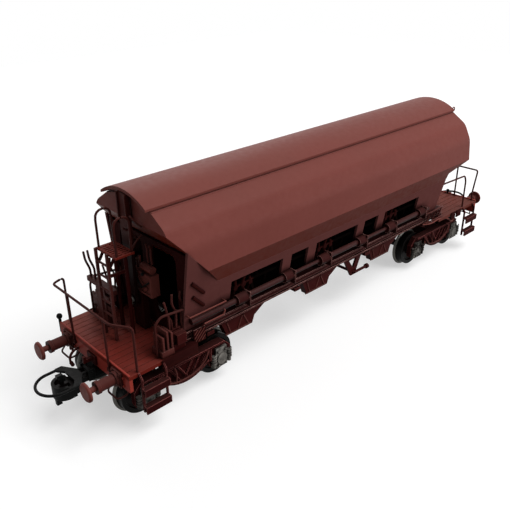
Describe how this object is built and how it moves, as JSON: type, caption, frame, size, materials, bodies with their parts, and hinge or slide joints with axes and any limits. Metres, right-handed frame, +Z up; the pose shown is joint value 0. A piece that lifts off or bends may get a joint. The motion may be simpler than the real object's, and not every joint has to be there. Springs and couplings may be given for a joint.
{
  "type": "model hopper car",
  "caption": "H0 model railway hopper car: faceted tank with a swing roof, windowed lower sides, planked end decks, ladder and rails, on bogies with sprung buffers and loop couplers.",
  "frame": {"origin": "centre of the bounding box in plan, at the lowest point of the wheel flanges", "axes": "+X along the car from the platform end to the plain end, +Y to the left side, +Z up"},
  "size_m": [0.1648, 0.033, 0.0487],
  "materials": {
    "body_red": "satin oxide-red paint on moulded plastic",
    "frame_brown": "matt dark red-brown moulded plastic",
    "deck_brown": "matt red-brown planks moulded in plastic",
    "wheel_steel": "blackened wheels with bright treads",
    "pin_steel": "plain steel",
    "ballast": "rolled steel bar",
    "box_grey": "grey painted plastic",
    "coupler_grey": "dark grey moulded plastic"
  },
  "bodies": {
    "car": {"hopper_tank": "body_red", "saddle_floor": "frame_brown", "side_wall_right": "body_red", "side_wall_left": "body_red", "end_wall_near": "frame_brown", "end_wall_far": "body_red", "chutes": "body_red", "ballast_weight": "ballast", "lever_shafts": "frame_brown", "discharge_tubes": "body_red", "tube_brackets": "frame_brown", "underframe": "frame_brown", "side_sill_right": "body_red", "side_sill_left": "body_red", "headstock_near": "body_red", "headstock_far": "body_red", "deck_near": "deck_brown", "deck_far": "deck_brown", "pivot_stands": "frame_brown", "control_box": "body_red", "roof_pins": "pin_steel", "ladder": "frame_brown", "upper_platform": "deck_brown", "platform_posts": "frame_brown", "hoop_rails": "frame_brown", "end_rail_near": "frame_brown", "far_rails": "frame_brown", "lever_loops": "frame_brown", "gear_boxes": "frame_brown", "brake_stand": "frame_brown", "brake_levers": "frame_brown", "steps": "frame_brown", "grab_loops": "frame_brown", "corner_lever": "coupler_grey", "brake_rigging": "frame_brown", "draw_hooks": "frame_brown", "buffer_sleeves": "body_red", "buffer_springs": "pin_steel", "coupler_pockets": "frame_brown", "coupler_pins": "pin_steel", "bogie_screws": "pin_steel"},
    "roof": {"roof_shell": "body_red", "roof_arms": "frame_brown"},
    "bogie_near": {"bogie_frame_near": "frame_brown", "axle_boxes_near": "box_grey"},
    "bogie_far": {"bogie_frame_far": "frame_brown", "axle_boxes_far": "box_grey"},
    "wheels_1": {"wheelset_1": "wheel_steel"},
    "wheels_2": {"wheelset_2": "wheel_steel"},
    "wheels_3": {"wheelset_3": "wheel_steel"},
    "wheels_4": {"wheelset_4": "wheel_steel"},
    "coupler_near": {"coupler_hook_near": "coupler_grey"},
    "loop_near": {"coupler_loop_near": "coupler_grey"},
    "coupler_far": {"coupler_hook_far": "coupler_grey"},
    "loop_far": {"coupler_loop_far": "coupler_grey"},
    "buffer_head_near_right": {"buffer_near_right": "body_red"},
    "buffer_head_near_left": {"buffer_near_left": "body_red"},
    "buffer_head_far_right": {"buffer_far_right": "body_red"},
    "buffer_head_far_left": {"buffer_far_left": "body_red"}
  },
  "joints": [
    {"name": "roof_swing", "type": "hinge", "parent": "car", "child": "roof", "pos_m": [0, 0, 0.0225], "axis": [1, 0, 0], "range_deg": [0, 60]},
    {"name": "bogie_near_swivel", "type": "hinge", "parent": "car", "child": "bogie_near", "pos_m": [-0.053, 0, 0.0106], "axis": [0, 0, 1], "range_deg": [-7, 7]},
    {"name": "bogie_far_swivel", "type": "hinge", "parent": "car", "child": "bogie_far", "pos_m": [0.049, 0, 0.0106], "axis": [0, 0, 1], "range_deg": [-7, 7]},
    {"name": "wheels_1_spin", "type": "hinge", "parent": "bogie_near", "child": "wheels_1", "pos_m": [-0.06335, 0, 0.0059], "axis": [0, 1, 0], "continuous": true},
    {"name": "wheels_2_spin", "type": "hinge", "parent": "bogie_near", "child": "wheels_2", "pos_m": [-0.04265, 0, 0.0059], "axis": [0, 1, 0], "continuous": true},
    {"name": "wheels_3_spin", "type": "hinge", "parent": "bogie_far", "child": "wheels_3", "pos_m": [0.03865, 0, 0.0059], "axis": [0, 1, 0], "continuous": true},
    {"name": "wheels_4_spin", "type": "hinge", "parent": "bogie_far", "child": "wheels_4", "pos_m": [0.05935, 0, 0.0059], "axis": [0, 1, 0], "continuous": true},
    {"name": "coupler_near_swing", "type": "hinge", "parent": "car", "child": "coupler_near", "pos_m": [-0.0635, 0, 0.009], "axis": [0, 0, 1], "range_deg": [-10, 10]},
    {"name": "loop_near_lift", "type": "hinge", "parent": "coupler_near", "child": "loop_near", "pos_m": [-0.0704, 0, 0.0104], "axis": [0, 1, 0], "range_deg": [0, 30]},
    {"name": "coupler_far_swing", "type": "hinge", "parent": "car", "child": "coupler_far", "pos_m": [0.0635, 0, 0.009], "axis": [0, 0, 1], "range_deg": [-10, 10]},
    {"name": "loop_far_lift", "type": "hinge", "parent": "coupler_far", "child": "loop_far", "pos_m": [0.0704, 0, 0.0104], "axis": [0, -1, 0], "range_deg": [0, 30]},
    {"name": "buffer_near_right_press", "type": "slide", "parent": "car", "child": "buffer_head_near_right", "axis": [1, 0, 0], "range_m": [0, 0.001], "stiffness_N_per_m": 150},
    {"name": "buffer_near_left_press", "type": "slide", "parent": "car", "child": "buffer_head_near_left", "axis": [1, 0, 0], "range_m": [0, 0.001], "stiffness_N_per_m": 150},
    {"name": "buffer_far_right_press", "type": "slide", "parent": "car", "child": "buffer_head_far_right", "axis": [-1, 0, 0], "range_m": [0, 0.001], "stiffness_N_per_m": 150},
    {"name": "buffer_far_left_press", "type": "slide", "parent": "car", "child": "buffer_head_far_left", "axis": [-1, 0, 0], "range_m": [0, 0.001], "stiffness_N_per_m": 150}
  ]
}
